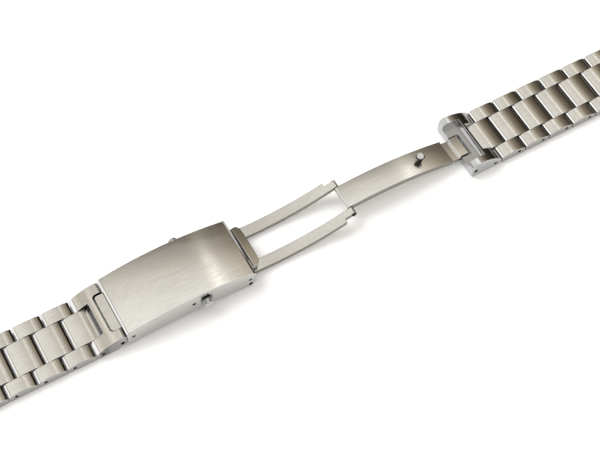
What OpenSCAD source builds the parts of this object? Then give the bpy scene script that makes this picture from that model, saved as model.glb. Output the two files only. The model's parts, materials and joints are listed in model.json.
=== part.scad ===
// Steel watch bracelet with an open folding push-button clasp.
// X runs along the band, Y across it and Z up. The band lies on z = 0.
// Every x below is counted from the left end of the clasp cover.

/* [Band] */
// Width of the band over the outer links
band_w = 18; // [17:0.5:20]
// Distance from one outer link to the next
link_pitch = 8.2; // [7.8:0.1:9]
// Thickness of a link
link_t = 2.9; // [2.8:0.1:3.3]
// Width of one outer link
outer_w = 4.1; // [3.8:0.1:4.4]
// Gap between the ends of two links in a row
link_gap = 0.35; // [0.3:0.05:0.6]
// Gap between a centre link and the outer link beside it
side_gap = 0.1; // [0.08:0.02:0.2]
// Height of a link's upright end wall
end_wall = 2.3; // [2:0.05:2.4]
// Slope of the shoulder above the end wall
shoulder_slope = 0.3; // [0.2:0.05:0.5]
// Radius of a link's crowned top, seen from the side
crown_r = 20; // [14:1:40]
// Radius of a link's lower end corners
foot_r = 0.4; // [0.3:0.05:0.5]
// Radius of the long outer top edge of the band
rim_r = 0.3; // [0.15:0.05:0.5]
// Rows of links on the left of the clasp
left_rows = 5; // [3:1:6]
// Rows of links on the right of the clasp
right_rows = 6; // [3:1:6]

/* [Pins] */
// Diameter of a link pin
link_pin_d = 1; // [0.8:0.1:1.1]
// Diameter of the clasp's hinge pins
hinge_pin_d = 1.2; // [1:0.1:1.3]
// Running clearance round a pin, on the radius
pin_run = 0.04; // [0.03:0.01:0.08]
// Clearance round a fixed pin, on the radius
pin_fix = 0.01; // [0.005:0.005:0.02]
// How far a pin's end lies below the side of the band
pin_recess = 0.6; // [0.3:0.05:0.7]
// Wall left outside a link's hidden pin
blind_wall = 1.1; // [0.8:0.1:1.5]

/* [End links] */
// Length of an end link beyond its gap
end_link_len = 7.7; // [7.2:0.1:9]
// Diameter of the spring bar bore
spring_bar_d = 1.6; // [1.4:0.1:1.9]

/* [Cover] */
// Length of the clasp cover
cover_len = 38; // [37.5:0.1:38.6]
// Width of the clasp cover
cover_w = 18.6; // [18.4:0.1:20]
// Height of the cover's top at its ends
cover_end_z = 5.9; // [5.8:0.1:6.4]
// Rise of the arched top between the ends
cover_rise = 2.3; // [2.2:0.1:3]
// Height of the side walls' lower edge at the ends
cover_foot_z = 0.4; // [0.2:0.1:0.5]
// Rise of the lower edge between the ends
foot_rise = 1.5; // [1:0.1:1.7]
// Thickness of the cover's top
cover_top_t = 1; // [0.8:0.05:1.1]
// Thickness of the cover's side walls
cover_side_t = 1.3; // [1:0.1:1.4]
// Radius of the cover's long top edges
cover_edge_r = 0.25; // [0.1:0.05:0.5]
// Radius of the lower corner at the cover's right end
cover_heel_r = 2.4; // [1.5:0.1:2.6]

/* [Left hinge] */
// Length of the end fork, from the cover to the gap before the left links
fork_len = 9.05; // [9:0.05:9.6]
// Distance of the end fork's hinge pin from the cover
tongue_pin_out = 1.4; // [1.4:0.05:1.5]
// Hinge pin of the end fork, height
tongue_pin_z = 2.3; // [2.2:0.05:2.6]
// Radius of the tongue's end round its hinge pin
tongue_r = 1.3; // [1.15:0.05:1.35]
// Half width of the tongue
tongue_half = 5.75; // [5:0.05:5.9]
// Height of the tongue's top
tongue_top_z = 4.7; // [4.4:0.05:4.8]
// Height of the end fork's top beside the cover
fork_link_z = 5.4; // [5.2:0.05:5.6]

/* [Folding arms] */
// Distance of the arms' pivot from the cover's right end
arm_pivot_in = 1.6; // [1.4:0.05:1.7]
// Pivot of the arms in the cover, height
arm_pivot_z = 1.4; // [1.35:0.05:1.5]
// How much shorter the arms are than the cover they fold into
fold_room = 4; // [3.9:0.05:4.1]
// Inner hinge between arms and blade, height
mid_hinge_z = 5.1; // [5:0.05:5.2]
// Thickness of the arms
arm_t = 1.4; // [1.2:0.05:1.5]
// Distance of the arms' outer edges from the centre line
arm_outer = 7; // [6.6:0.1:7.4]
// Distance of the arm tips' outer edges from the centre line
arm_tip = 5.9; // [5.4:0.1:6.2]
// Length of the arms' narrow tips, up to the inner hinge
arm_tip_len = 2.8; // [2.4:0.1:4]
// How far above the centre of the inner hinge the arms' middle line ends
arm_hinge_rise = 0.13; // [0:0.01:0.3]
// Lowest point of the arms' top, height
arm_low_z = 2; // [1.95:0.05:2.1]
// Radius that the arms are bent to
arm_bend_r = 77; // [75:1:80]

/* [Blade] */
// Half width of the blade
blade_half = 3.65; // [3.4:0.05:3.75]
// Gap between blade and arm
blade_gap = 0.2; // [0.15:0.05:0.4]
// Thickness of the blade
blade_t = 1.8; // [1.5:0.05:1.9]
// Distance from the inner hinge to the blade's highest point
blade_high_out = 10.6; // [9.6:0.1:11.6]
// Highest point of the blade, height
blade_high_z = 6.5; // [6.4:0.05:6.55]
// Radius that the blade is bent to
blade_bend_r = 100; // [98:1:106]
// Length of the blade, from the inner hinge to the connector's pin
blade_len = 38.3; // [38.2:0.05:38.5]
// Length of the blade's neck, up to the connector's pin
neck_len = 4.5; // [4.1:0.1:4.9]
// Depth of the step
neck_step = 0.8; // [0.6:0.05:0.9]
// Half width of the neck and end block
neck_half = 3.3; // [3:0.05:3.4]
// Distance from the inner hinge to the catch stud
stud_out = 24.8; // [24.6:0.05:25]
// Diameter of the stud's head
stud_head_d = 2.6; // [2.2:0.1:2.7]
// Diameter of the stud's waist
stud_waist_d = 1.2; // [1:0.1:1.3]
// Height of the waist above the blade
stud_waist_h = 1.85; // [1.83:0.01:1.9]
// Thickness of the stud's head
stud_head_h = 0.85; // [0.7:0.05:0.9]

/* [Connector] */
// Connector hinge pin, height
conn_pin_z = 2.3; // [2.2:0.05:2.4]
// Length of the connector, from its pin to the gap before the right links
conn_len = 8.8; // [8.5:0.1:9.8]
// Length of the connector's nose ahead of its pin
nose_len = 1.4; // [1.35:0.05:1.5]
// Height of the connector's rims at the nose
nose_z = 5.7; // [5.4:0.05:5.8]
// Height of the connector's ledges
ledge_z = 3.3; // [3.2:0.05:3.35]
// Half width of the connector's pocket
pocket_half = 6.9; // [6.8:0.05:7.2]

/* [End bar] */
// How far the end bar reaches past the cover
bar_out = 3.1; // [2.6:0.1:3.3]
// Half width of the end bar
bar_half = 6.5; // [6:0.1:6.6]
// Height of the end bar's top
bar_top_z = 4.9; // [4.8:0.05:5]
// Thickness of the end bar
bar_t = 1.5; // [1.2:0.05:1.5]

/* [Catch] */
// Distance from the push buttons to the jaws
button_back = 3.58; // [3.4:0.02:3.7]
// Height of the push buttons' middle
button_z = 4.8; // [4.75:0.05:4.85]
// Diameter of a push button
button_d = 2.6; // [2.2:0.1:2.7]
// How far a push button stands out of the cover
button_out = 1.9; // [1.4:0.1:2]
// Travel of a push button
button_travel = 0.8; // [0.7:0.05:0.8]
// Thickness of a jaw plate
jaw_t = 0.55; // [0.45:0.05:0.55]
// How far the folded stud lies to the left of its place with flat arms
jaw_shift = 0.47; // [0.4:0.01:0.6]
// Height of the lower jaw's underside
jaw_z = 4.22; // [4.2:0.01:4.25]

/* [Hidden] */
fine = 96;
eps = 0.01;
// reach of the cuts that pass right through
cut = band_w + cover_w;
// hinges and ends along the band, from the cover's two ends outwards
left_gap_x = -fork_len;
tongue_pin_x = -tongue_pin_out;
arm_pivot_x = cover_len - arm_pivot_in;
arm_reach = cover_len - fold_room;
mid_hinge_x = arm_pivot_x + arm_reach;
arm_step_x = mid_hinge_x - arm_tip_len;
// the arms' arc ends at the inner hinge, however long the arms are
arm_arc_r = arm_bend_r + arm_t / 2;
arm_arc_end = arm_bend_r + arm_low_z - mid_hinge_z - arm_hinge_rise;
arm_low_x = mid_hinge_x - sqrt(pow(arm_arc_r, 2) - pow(arm_arc_end, 2));
blade_high_x = mid_hinge_x + blade_high_out;
conn_pin_x = mid_hinge_x + blade_len;
neck_x = conn_pin_x - neck_len;
stud_x = mid_hinge_x + stud_out;
right_gap_x = conn_pin_x + conn_len;
bar_x = cover_len + bar_out;
// the jaws wait where the folded stud comes to
jaw_x = arm_pivot_x - arm_reach + stud_out - jaw_shift;
button_x = jaw_x - button_back;
half_w = band_w / 2;
link_len = link_pitch - link_gap;
centre_w = band_w - 2 * outer_w - 2 * side_gap;
pin_step = link_pitch / 4;
link_pin_z = link_t / 2;
link_pin_r = link_pin_d / 2;
hinge_pin_r = hinge_pin_d / 2;
slot_half = centre_w / 2 + side_gap;
slot_corner_r = 0.35;
pin_end = half_w - pin_recess;
blind_end = half_w - blind_wall - 0.1;
// room that a swinging link end needs beside its slot
swing_room = 0.27;
slot_reach = link_len / 2 + swing_room;
// the bar bore of an end link and the round nose about it
lug_r = link_t / 2 - 0.03;
lug_x = end_link_len - lug_r;
lug_z = link_t / 2;
// cover arcs
cover_half = cover_len / 2;
cover_r = (pow(cover_half, 2) + pow(cover_rise, 2)) / (2 * cover_rise);
cover_high_z = cover_end_z + cover_rise;
foot_arc_r = (pow(cover_half, 2) + pow(foot_rise, 2)) / (2 * foot_rise);
foot_high_z = cover_foot_z + foot_rise;
inner_half = cover_w / 2 - cover_side_t;
cover_pin_end = cover_w / 2 - pin_recess;
end_wall_t = 1.2;
// end fork beside the cover
fork_gap = 0.15;
fork_right_x = -fork_gap;
fork_left_x = left_gap_x + link_gap / 2;
fork_corner_r = 0.9;
fork_heel_r = 1.2;
web_gap = 0.45;
tongue_left_x = tongue_pin_x - tongue_r;
tongue_slot_half = tongue_half + 0.3;
tongue_plate_z = 2.95;
tongue_plate_x = 4.4;
tongue_plate_t = 1.65;
tongue_fix_x = 1.75;
tongue_fix_z = 3.75;
tongue_rise = 0.35;
fork_arc_r = 15;
// arms
arm_inner = blade_half + blade_gap;
knuckle_r = 0.85;
root_r = 1;
web_len = 3;
web_x0 = arm_pivot_x + 1.2;
web_x1 = web_x0 + web_len;
web_z0 = arm_pivot_z + 0.6;
web_z1 = arm_pivot_z + 1.35;
// end block round the connector pin
block_r = 1.15;
block_back = 1.6;
block_top_z = conn_pin_z + 1.2;
slot_end_x = conn_pin_x + 1.75;
cove_r = 1.9;
cove_x = conn_pin_x + 1.95;
cove_z = nose_z - 0.45;
conn_left_x = conn_pin_x - nose_len;
nose_r = 1.5;
nose_foot_r = 1;
conn_right_x = right_gap_x - link_gap / 2;
conn_arc_r = 11;
block_slot_half = neck_half + 0.4;
// end bar legs
bar_left_x = cover_len + 0.55;
leg_x = arm_pivot_x - 1.1;
leg_z = web_z1 + 0.25;
leg_inner = arm_inner + 0.25;
leg_top_z = bar_top_z - 0.4;
bar_pin_x = arm_pivot_x - 0.1;
bar_pin_z = arm_pivot_z + 2.25;
bar_pin_r = 0.45;
// catch
jaw_gap = 0.08;
upper_jaw_z = jaw_z + jaw_t + jaw_gap;
jaw_top_z = upper_jaw_z + jaw_t;
house_z = jaw_top_z + 0.1;
house_top_z = house_z + 0.6;
arch_gap = 0.1;
house_half = inner_half - 0.3;
house_back = 4.95;
house_front = 4.5;
house_fix_in = 1.3;
house_x0 = button_x - house_back;
house_x1 = jaw_x + house_front;
house_fix_x = house_x0 + house_fix_in;
house_fix_z = button_z + 0.4;
jaw_half_x = 2.2;
stud_flat = stud_head_d / 2 - 0.22;
window_half = stud_head_d / 2 + 0.25;
jaw_hold = stud_waist_d / 2 + 0.12;
jaw_free = stud_head_d / 2 + button_travel + 0.15;
jaw_end = jaw_hold + 1.7;
slide_y = inner_half - 0.3;
heel_y = slide_y - 1.1;
button_r = button_d / 2;
button_in = house_half + button_travel + 0.15;
heel_half_z = 0.55;
notch_r = button_r + 0.45;
notch_z = button_z + 0.5;
spring_r = 0.46;
spring_wire_r = 0.13;
spring_turns = 7;
spring_steps = 12;
spring_sides = 6;
post_half = 0.7;
// the whole band is centred on x = 0
left_end_x = left_gap_x - left_rows * link_pitch - end_link_len;
right_end_x = right_gap_x + right_rows * link_pitch + end_link_len;
shift_x = -(left_end_x + right_end_x) / 2;

steel = [0.76, 0.74, 0.70];
dark_steel = [0.62, 0.60, 0.56];
bright_steel = [0.85, 0.85, 0.85];

// Height of a circle of radius r with its top at (x0, z0).
function hump(x, x0, z0, r) = z0 - r + sqrt(r * r - pow(x - x0, 2));
// Height of a circle of radius r with its lowest point at (x0, z0).
function dip(x, x0, z0, r) = z0 + r - sqrt(r * r - pow(x - x0, 2));
// Centre of the circle of radius r through p and q that bulges upwards.
function arc_centre(p, q, r) =
    let (d = q - p, m = (p + q) / 2, h = sqrt(r * r - d * d / 4))
    [m[0] + d[1] / norm(d) * h, m[1] - d[0] / norm(d) * h];

// A side profile drawn in X and Z, pushed across the band.
module across(w) {
    rotate([90, 0, 0]) linear_extrude(height = w, center = true) children();
}

// A side profile pushed across between two places in Y.
module across_from(y0, y1) {
    translate([0, y1, 0]) rotate([90, 0, 0]) linear_extrude(height = y1 - y0) children();
}

module pin(x, z, r, half) {
    translate([x, 0, z]) rotate([90, 0, 0])
        cylinder(r = r, h = 2 * half, center = true, $fn = fine);
}

module stub(x, z, r, y0, y1) {
    translate([x, y0, z]) rotate([-90, 0, 0]) cylinder(r = r, h = y1 - y0, $fn = fine);
}

// What has to come off a square corner at the origin to round it.
module corner_waste(r) {
    difference() {
        translate([-eps, -eps]) square(r + eps);
        translate([r, r]) circle(r, $fn = fine);
    }
}

module round_feet(half_len, r) {
    difference() {
        children();
        translate([-half_len, 0]) corner_waste(r);
        translate([half_len, 0]) mirror([1, 0]) corner_waste(r);
    }
}

// Side view of a link: upright ends, sloping shoulders and a crowned top.
module link_profile() {
    h = link_len / 2;
    round_feet(h, foot_r) intersection() {
        polygon([[-h, 0], [-h, end_wall], [0, end_wall + h * shoulder_slope], [h, end_wall], [h, 0]]);
        translate([0, link_t - crown_r]) circle(crown_r, $fn = 4 * fine);
    }
}

// End view of the band: upright sides and rounded top edges.
module band_section(w, h, r) {
    difference() {
        translate([-w / 2, -eps]) square([w, h + eps]);
        for (s = [-1, 1]) translate([s * w / 2, h]) mirror([s > 0 ? 1 : 0, 0]) mirror([0, 1])
            corner_waste(r);
    }
}

module along(x0, x1) {
    translate([x0, 0, 0]) rotate([90, 0, 90]) linear_extrude(height = x1 - x0) children();
}

// Places a row of the left half, where away from the clasp is -X.
module left_at(k) {
    translate([shift_x + left_gap_x - k * link_pitch, 0, 0]) mirror([1, 0, 0]) children();
}

module right_at(k) {
    translate([shift_x + right_gap_x + k * link_pitch, 0, 0]) children();
}

// In a row's own frame x = 0 is the middle of the link and +X leads away from the clasp.
module outer_links() {
    color(steel) difference() {
        intersection() {
            across(band_w) link_profile();
            along(-link_len, link_len) band_section(band_w, link_t, rim_r);
        }
        cube([2 * link_len, 2 * slot_half, 3 * link_t], center = true);
        pin(pin_step, link_pin_z, link_pin_r + pin_fix, half_w + 1);
        pin(-pin_step, link_pin_z, link_pin_r + pin_fix, half_w - blind_wall);
    }
}

module centre_link() {
    color(steel) difference() {
        across(centre_w) link_profile();
        for (s = [-1, 1]) pin(s * pin_step, link_pin_z, link_pin_r + pin_run, centre_w);
    }
}

module link_pins() {
    color(dark_steel) {
        pin(pin_step, link_pin_z, link_pin_r, pin_end);
        pin(-pin_step, link_pin_z, link_pin_r, blind_end);
    }
}

// In an end link's own frame x = 0 is the middle of its gap and +X leads to the watch.
module end_link() {
    x0 = link_gap / 2;
    color(steel) difference() {
        intersection() {
            across(band_w) difference() {
                polygon([[x0, 0], [x0, end_wall], [x0 + 2, link_t], [end_link_len, link_t],
                         [end_link_len, 0]]);
                translate([x0, 0]) corner_waste(foot_r);
                translate([end_link_len, 0]) mirror([1, 0]) corner_waste(lug_r);
                translate([end_link_len, link_t]) mirror([1, 0]) mirror([0, 1]) corner_waste(lug_r);
            }
            along(-1, end_link_len + 1) band_section(band_w, link_t, rim_r);
        }
        slot(-1, slot_reach, slot_half, slot_corner_r);
        pin(pin_step, link_pin_z, link_pin_r + pin_fix, half_w + 1);
        pin(lug_x, lug_z, spring_bar_d / 2, half_w + 1);
    }
}

module end_link_pin() {
    color(dark_steel) pin(pin_step, link_pin_z, link_pin_r, pin_end);
}

// An upright slot open at x0, with rounded corners at x1.
module slot(x0, x1, half, r) {
    translate([0, 0, -1]) linear_extrude(height = cut) {
        translate([x0, -half]) square([x1 - x0 - r, 2 * half]);
        translate([x0, -half + r]) square([x1 - x0, 2 * (half - r)]);
        for (s = [-1, 1]) translate([x1 - r, s * (half - r)]) circle(r, $fn = fine);
    }
}

// Side view of the end fork: a link's end on the left, the cover's height on the right.
module end_fork_profile() {
    left = [fork_left_x, end_wall];
    right = [fork_right_x - fork_corner_r, fork_link_z];
    pin = [tongue_pin_x, tongue_pin_z];
    difference() {
        polygon([[left[0], 0], [left[0], right[1]], [fork_right_x, right[1]], [fork_right_x, 0]]);
        // sloping top, an arc from one height to the other
        difference() {
            translate([left[0] - 1, end_wall]) square([right[0] - left[0] + 1, cut]);
            translate(arc_centre(left, right, fork_arc_r)) circle(fork_arc_r, $fn = 4 * fine);
        }
        translate([left[0], 0]) corner_waste(foot_r);
        translate([fork_right_x, right[1]]) mirror([1, 0]) mirror([0, 1]) corner_waste(fork_corner_r);
        // the heel is round about the hinge pin, so that the fork can swing down
        difference() {
            polygon([[pin[0] - 1.5, -1], [pin[0] - 1.5, 0],
                     [pin[0] - fork_heel_r / 2, pin[1] - fork_heel_r], pin,
                     [pin[0] + 3, pin[1]], [pin[0] + 3, -1]]);
            translate(pin) circle(fork_heel_r + 0.05, $fn = fine);
        }
    }
}

module end_fork() {
    color(bright_steel) translate([shift_x, 0, 0]) difference() {
        intersection() {
            across(band_w) end_fork_profile();
            along(fork_left_x - 1, 1) band_section(band_w, fork_link_z + 1, rim_r);
        }
        translate([left_gap_x, 0, 0]) mirror([1, 0, 0]) mirror([1, 0, 0])
            slot(-link_len, slot_reach, slot_half, slot_corner_r);
        translate([tongue_left_x - web_gap, 0, 0]) mirror([1, 0, 0])
            slot(-fork_len, 0, tongue_slot_half, 0.9);
        pin(left_gap_x + pin_step, link_pin_z, link_pin_r + pin_fix, half_w + 1);
        pin(tongue_pin_x, tongue_pin_z, hinge_pin_r + pin_fix, half_w + 1);
    }
}

module end_fork_pins() {
    color(dark_steel) translate([shift_x, 0, 0]) {
        pin(left_gap_x + pin_step, link_pin_z, link_pin_r, pin_end);
        pin(tongue_pin_x, tongue_pin_z, hinge_pin_r, pin_end);
    }
}

// The tongue that the end fork closes round, with a plate held inside the cover.
module cover_tongue() {
    color(steel) translate([shift_x, 0, 0]) difference() {
        intersection() {
            across(2 * tongue_half) union() {
                translate([tongue_pin_x, tongue_pin_z]) circle(tongue_r, $fn = fine);
                translate([tongue_left_x, tongue_pin_z])
                    square([-tongue_left_x - 0.05, tongue_top_z - tongue_pin_z]);
                translate([tongue_pin_x, tongue_pin_z - tongue_r])
                    square([-tongue_pin_x - 0.05, tongue_r + 1]);
                translate([tongue_pin_x, tongue_plate_z])
                    square([tongue_plate_x - tongue_pin_x, tongue_plate_t]);
            }
            translate([tongue_plate_x, 0, 0]) mirror([1, 0, 0])
                slot(0, tongue_plate_x - tongue_left_x, tongue_half, 0.8);
        }
        pin(tongue_pin_x, tongue_pin_z, hinge_pin_r + pin_run, half_w);
        pin(tongue_fix_x, tongue_fix_z, link_pin_r + pin_fix, half_w);
    }
}

// The cover's outer form, bent about an axis across the band.
module cover_blank() {
    intersection() {
        translate([cover_half, 0, cover_high_z - cover_r]) rotate([90, 0, 0])
            rotate_extrude($fn = 6 * fine) intersection() {
                translate([0, -cover_w / 2]) square([cover_r, cover_w]);
                difference() {
                    translate([0, -cover_w]) square([cover_r + 1, 2 * cover_w]);
                    for (s = [-1, 1]) translate([cover_r, s * cover_w / 2])
                        mirror([1, 0]) mirror([0, s > 0 ? 1 : 0]) corner_waste(cover_edge_r);
                }
            }
        across(2 * cover_w) cover_outline();
    }
}

// Side view of the cover: square left end, rounded heel on the right, hollow lower edge.
module cover_outline() {
    difference() {
        square([cover_len, cover_high_z + 1]);
        translate([cover_half, foot_high_z - foot_arc_r]) circle(foot_arc_r, $fn = 6 * fine);
        translate([cover_len, cover_foot_z]) mirror([1, 0]) corner_waste(cover_heel_r);
    }
}

// Side view of the room under the cover's arched top, less a gap.
module under_arch(gap) {
    translate([cover_half, cover_high_z - cover_r]) circle(cover_r - cover_top_t - gap, $fn = 6 * fine);
}

module clasp_cover() {
    color(steel) translate([shift_x, 0, 0]) difference() {
        cover_blank();
        // hollow under the arched top, open at the right end
        across(2 * inner_half) intersection() {
            under_arch(0);
            translate([end_wall_t, -1]) square([cover_len, cut]);
        }
        // way in for the tongue's plate
        translate([-1, -tongue_half - 0.1, tongue_plate_z - 0.05])
            cube([end_wall_t + 2, 2 * tongue_half + 0.2, tongue_plate_t + 0.1]);
        for (s = [-1, 1]) {
            // notch of a push button, open at the lower edge
            mirror([0, s > 0 ? 1 : 0, 0]) {
                stub(button_x, notch_z, notch_r, inner_half - 1, cover_w / 2 + 1);
                translate([button_x - notch_r, inner_half - 1, -1])
                    cube([2 * notch_r, cover_side_t + 2, notch_z + 1]);
            }
        }
        pin(tongue_fix_x, tongue_fix_z, link_pin_r + pin_fix, cover_w);
        pin(house_fix_x, house_fix_z, link_pin_r + pin_fix, cover_w);
        pin(arm_pivot_x, arm_pivot_z, hinge_pin_r + pin_fix, cover_w);
        pin(bar_pin_x, bar_pin_z, bar_pin_r + pin_fix, cover_w);
    }
}

// Pins fixed in the cover: one for the tongue, one for the catch and two for the end bar.
module cover_pins() {
    color(dark_steel) translate([shift_x, 0, 0]) {
        pin(tongue_fix_x, tongue_fix_z, link_pin_r, cover_w / 2 - 0.02);
        pin(house_fix_x, house_fix_z, link_pin_r, cover_pin_end);
        for (s = [0, 1]) mirror([0, s, 0])
            stub(bar_pin_x, bar_pin_z, bar_pin_r, leg_inner + 0.1, cover_pin_end);
    }
}

// The bar past the cover's right end, on two legs that leave room for the blade.
module end_bar() {
    bar_z = bar_top_z - bar_t;
    color(steel) translate([shift_x, 0, 0]) difference() {
        union() {
            translate([0, 0, bar_z]) linear_extrude(height = bar_t)
                polygon([[bar_left_x, -bar_half], [bar_x - 1, -bar_half], [bar_x - 0.2, -bar_half + 1],
                         [bar_x - 0.05, -bar_half / 2], [bar_x, 0], [bar_x - 0.05, bar_half / 2],
                         [bar_x - 0.2, bar_half - 1], [bar_x - 1, bar_half], [bar_left_x, bar_half]]);
            for (s = [0, 1]) mirror([0, s, 0]) across_from(leg_inner, bar_half)
                polygon([[leg_x, leg_z], [leg_x, leg_top_z], [bar_left_x + 0.3, leg_top_z],
                         [bar_left_x + 0.3, bar_z], [bar_left_x, leg_z]]);
        }
        // polished bevel along the left edge
        across(3 * bar_half) polygon([[bar_left_x - 1, bar_top_z - 0.35], [bar_left_x, bar_top_z - 0.35],
                                      [bar_left_x + 0.35, bar_top_z], [bar_left_x + 0.35, bar_top_z + 1],
                                      [bar_left_x - 1, bar_top_z + 1]]);
        pin(bar_pin_x, bar_pin_z, bar_pin_r + pin_fix, band_w);
    }
}

// The frame under the cover's top that guides the two jaws.
module catch_housing() {
    color(dark_steel) translate([shift_x, 0, 0]) difference() {
        // the frame keeps under the cover's arched top
        intersection() {
            across(band_w) under_arch(arch_gap);
            union() {
                translate([house_x0, -house_half, house_z])
                    cube([house_x1 - house_x0, 2 * house_half, house_top_z - house_z]);
                translate([house_x0, -house_half, jaw_z])
                    cube([button_x - button_r - 0.4 - house_x0, 2 * house_half, house_top_z - jaw_z]);
                translate([jaw_x + jaw_half_x + 0.1, -house_half, jaw_z])
                    cube([house_x1 - jaw_x - jaw_half_x - 0.1, 2 * house_half, house_top_z - jaw_z]);
                // post between the two springs
                translate([button_x - 0.8, -post_half + 0.1, jaw_z])
                    cube([1.6, 2 * post_half - 0.2, house_top_z - jaw_z]);
                // lips that carry the jaw plates beside the folded blade
                for (s = [0, 1]) mirror([0, s, 0]) {
                    translate([jaw_x + jaw_half_x - 0.6, arm_inner + 0.35, jaw_z - 0.5])
                        cube([1.2, house_half - arm_inner - 0.35, 0.45]);
                    translate([jaw_x + jaw_half_x + 0.1, arm_inner + 0.35, jaw_z - 0.5])
                        cube([0.5, house_half - arm_inner - 0.35, 0.6]);
                }
            }
        }
        // room for the stud's head above the jaws
        translate([jaw_x, 0, house_z - 1]) cylinder(r = window_half + 0.25, h = cut, $fn = fine);
        pin(house_fix_x, house_fix_z, link_pin_r + pin_fix, band_w);
    }
}

// A push button with its jaw plate: pressed towards +Y, the window's edge leaves the stud.
module button(z) {
    length = cover_w / 2 + button_out - button_in;
    difference() {
        union() {
            translate([button_x, -button_in, button_z]) rotate([90, 0, 0]) rotate_extrude($fn = fine)
                polygon([[0, 0], [button_r, 0], [button_r, length - 0.7], [button_r - 0.12, length - 0.7],
                         [button_r - 0.12, length - 0.5], [button_r, length - 0.5],
                         [button_r, length - 0.2], [button_r - 0.2, length], [0, length]]);
            // shank through the cover's wall
            translate([button_x - button_r + 0.3, -button_in - 0.3, button_z - heel_half_z])
                cube([2 * button_r - 0.6, button_in + 0.3 - heel_y, 2 * heel_half_z]);
            // heel that the spring pushes on, and the jaw plate beside it
            translate([button_x - button_r, -slide_y, button_z - heel_half_z])
                cube([2 * button_r, slide_y - heel_y, 2 * heel_half_z]);
            translate([button_x, -slide_y, z])
                cube([jaw_x + jaw_half_x - button_x, slide_y - heel_y, jaw_t]);
            translate([jaw_x - jaw_half_x, -slide_y, z])
                cube([2 * jaw_half_x, slide_y + jaw_end, jaw_t]);
        }
        translate([jaw_x - window_half, -jaw_free, z - 1])
            cube([2 * window_half, jaw_free + jaw_hold, 3]);
    }
}

module button_near() {
    color(bright_steel) translate([shift_x, 0, 0]) button(upper_jaw_z);
}

module button_far() {
    color(bright_steel) translate([shift_x, 0, 0]) mirror([0, 1, 0]) button(jaw_z);
}

// A coil of round wire along Y, as one tube.
module coil(y0, y1) {
    n = spring_turns * spring_steps;
    rise = (y1 - y0 - 2 * spring_wire_r) / n;
    points = [for (i = [0 : n]) let (a = 360 * i / spring_steps)
        for (j = [0 : spring_sides - 1]) let (
            b = 360 * j / spring_sides,
            r = spring_r + spring_wire_r * cos(b)
        ) [r * cos(a), y0 + spring_wire_r + i * rise + spring_wire_r * sin(b), r * sin(a)]];
    sides = [for (i = [0 : n - 1]) for (j = [0 : spring_sides - 1]) let (
            k = (j + 1) % spring_sides, p = i * spring_sides, q = p + spring_sides
        ) each [[p + j, p + k, q + k], [p + j, q + k, q + j]]];
    start = [for (j = [1 : spring_sides - 2]) [0, j + 1, j]];
    stop = [for (j = [1 : spring_sides - 2]) let (e = n * spring_sides) [e, e + j, e + j + 1]];
    polyhedron(points, concat(sides, start, stop));
}

module spring_near() {
    color(dark_steel) translate([shift_x + button_x, 0, button_z])
        coil(-heel_y + 0.03, -post_half + 0.07);
}

module spring_far() {
    color(dark_steel) translate([shift_x + button_x, 0, button_z])
        coil(post_half - 0.07, heel_y - 0.03);
}

// Side view of the arms: a bent strip between two round knuckles.
module arm_profile() {
    low = arm_bend_r + arm_low_z;
    union() {
        intersection() {
            translate([arm_pivot_x, -1]) square([mid_hinge_x - arm_pivot_x, cut]);
            difference() {
                translate([arm_low_x, low]) circle(arm_bend_r + arm_t, $fn = 8 * fine);
                translate([arm_low_x, low]) circle(arm_bend_r, $fn = 8 * fine);
            }
        }
        translate([arm_pivot_x, arm_pivot_z]) circle(root_r, $fn = fine);
        translate([mid_hinge_x, mid_hinge_z]) circle(knuckle_r, $fn = fine);
    }
}

module folding_arms() {
    color(steel) translate([shift_x, 0, 0]) difference() {
        union() {
            for (s = [0, 1]) mirror([0, s, 0]) across_from(arm_inner, arm_outer) arm_profile();
            // raised bridge between the arms, under the end bar
            translate([web_x0, -arm_inner - 1, web_z0])
                cube([web_x1 - web_x0, 2 * arm_inner + 2, web_z1 - web_z0]);
        }
        // the tips are narrower
        for (s = [0, 1]) mirror([0, s, 0]) translate([arm_step_x, arm_tip, -1]) cube(cut);
        pin(arm_pivot_x, arm_pivot_z, hinge_pin_r + pin_run, band_w);
        pin(mid_hinge_x, mid_hinge_z, hinge_pin_r + pin_fix, band_w);
    }
}

module arm_pivot_pins() {
    color(dark_steel) translate([shift_x, 0, 0])
        for (s = [0, 1]) mirror([0, s, 0])
            stub(arm_pivot_x, arm_pivot_z, hinge_pin_r, arm_inner + 0.1, cover_pin_end);
}

module mid_hinge_pin() {
    color(dark_steel) translate([shift_x, 0, 0])
        pin(mid_hinge_x, mid_hinge_z, hinge_pin_r, arm_tip + 0.25);
}

// Side view of the blade: a bent strip with a knuckle on the left.
module blade_profile() {
    intersection() {
        translate([mid_hinge_x, -1]) square([neck_x - mid_hinge_x, cut]);
        difference() {
            translate([blade_high_x, blade_high_z - blade_bend_r]) circle(blade_bend_r, $fn = 8 * fine);
            translate([blade_high_x, blade_high_z - blade_bend_r])
                circle(blade_bend_r - blade_t, $fn = 8 * fine);
        }
    }
    translate([mid_hinge_x, mid_hinge_z]) circle(knuckle_r, $fn = fine);
}

// Side view of the neck and of the block round the connector's pin.
module neck_profile() {
    top = hump(neck_x, blade_high_x, blade_high_z, blade_bend_r) - neck_step;
    under = hump(neck_x, blade_high_x, blade_high_z, blade_bend_r) - blade_t;
    polygon([[neck_x - 1, under + 0.1], [neck_x - 1, top], [conn_pin_x - block_back, top - 0.3],
             [conn_pin_x, top - 0.3], [conn_pin_x, conn_pin_z - block_r + 0.1]]);
    translate([conn_pin_x - block_back, conn_pin_z - block_r + 0.4])
        square([block_back + 0.4, block_top_z - conn_pin_z + block_r - 0.4]);
    translate([conn_pin_x, conn_pin_z]) circle(block_r, $fn = fine);
    translate([conn_pin_x, conn_pin_z]) square([block_r - 0.2, block_top_z - conn_pin_z]);
}

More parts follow.
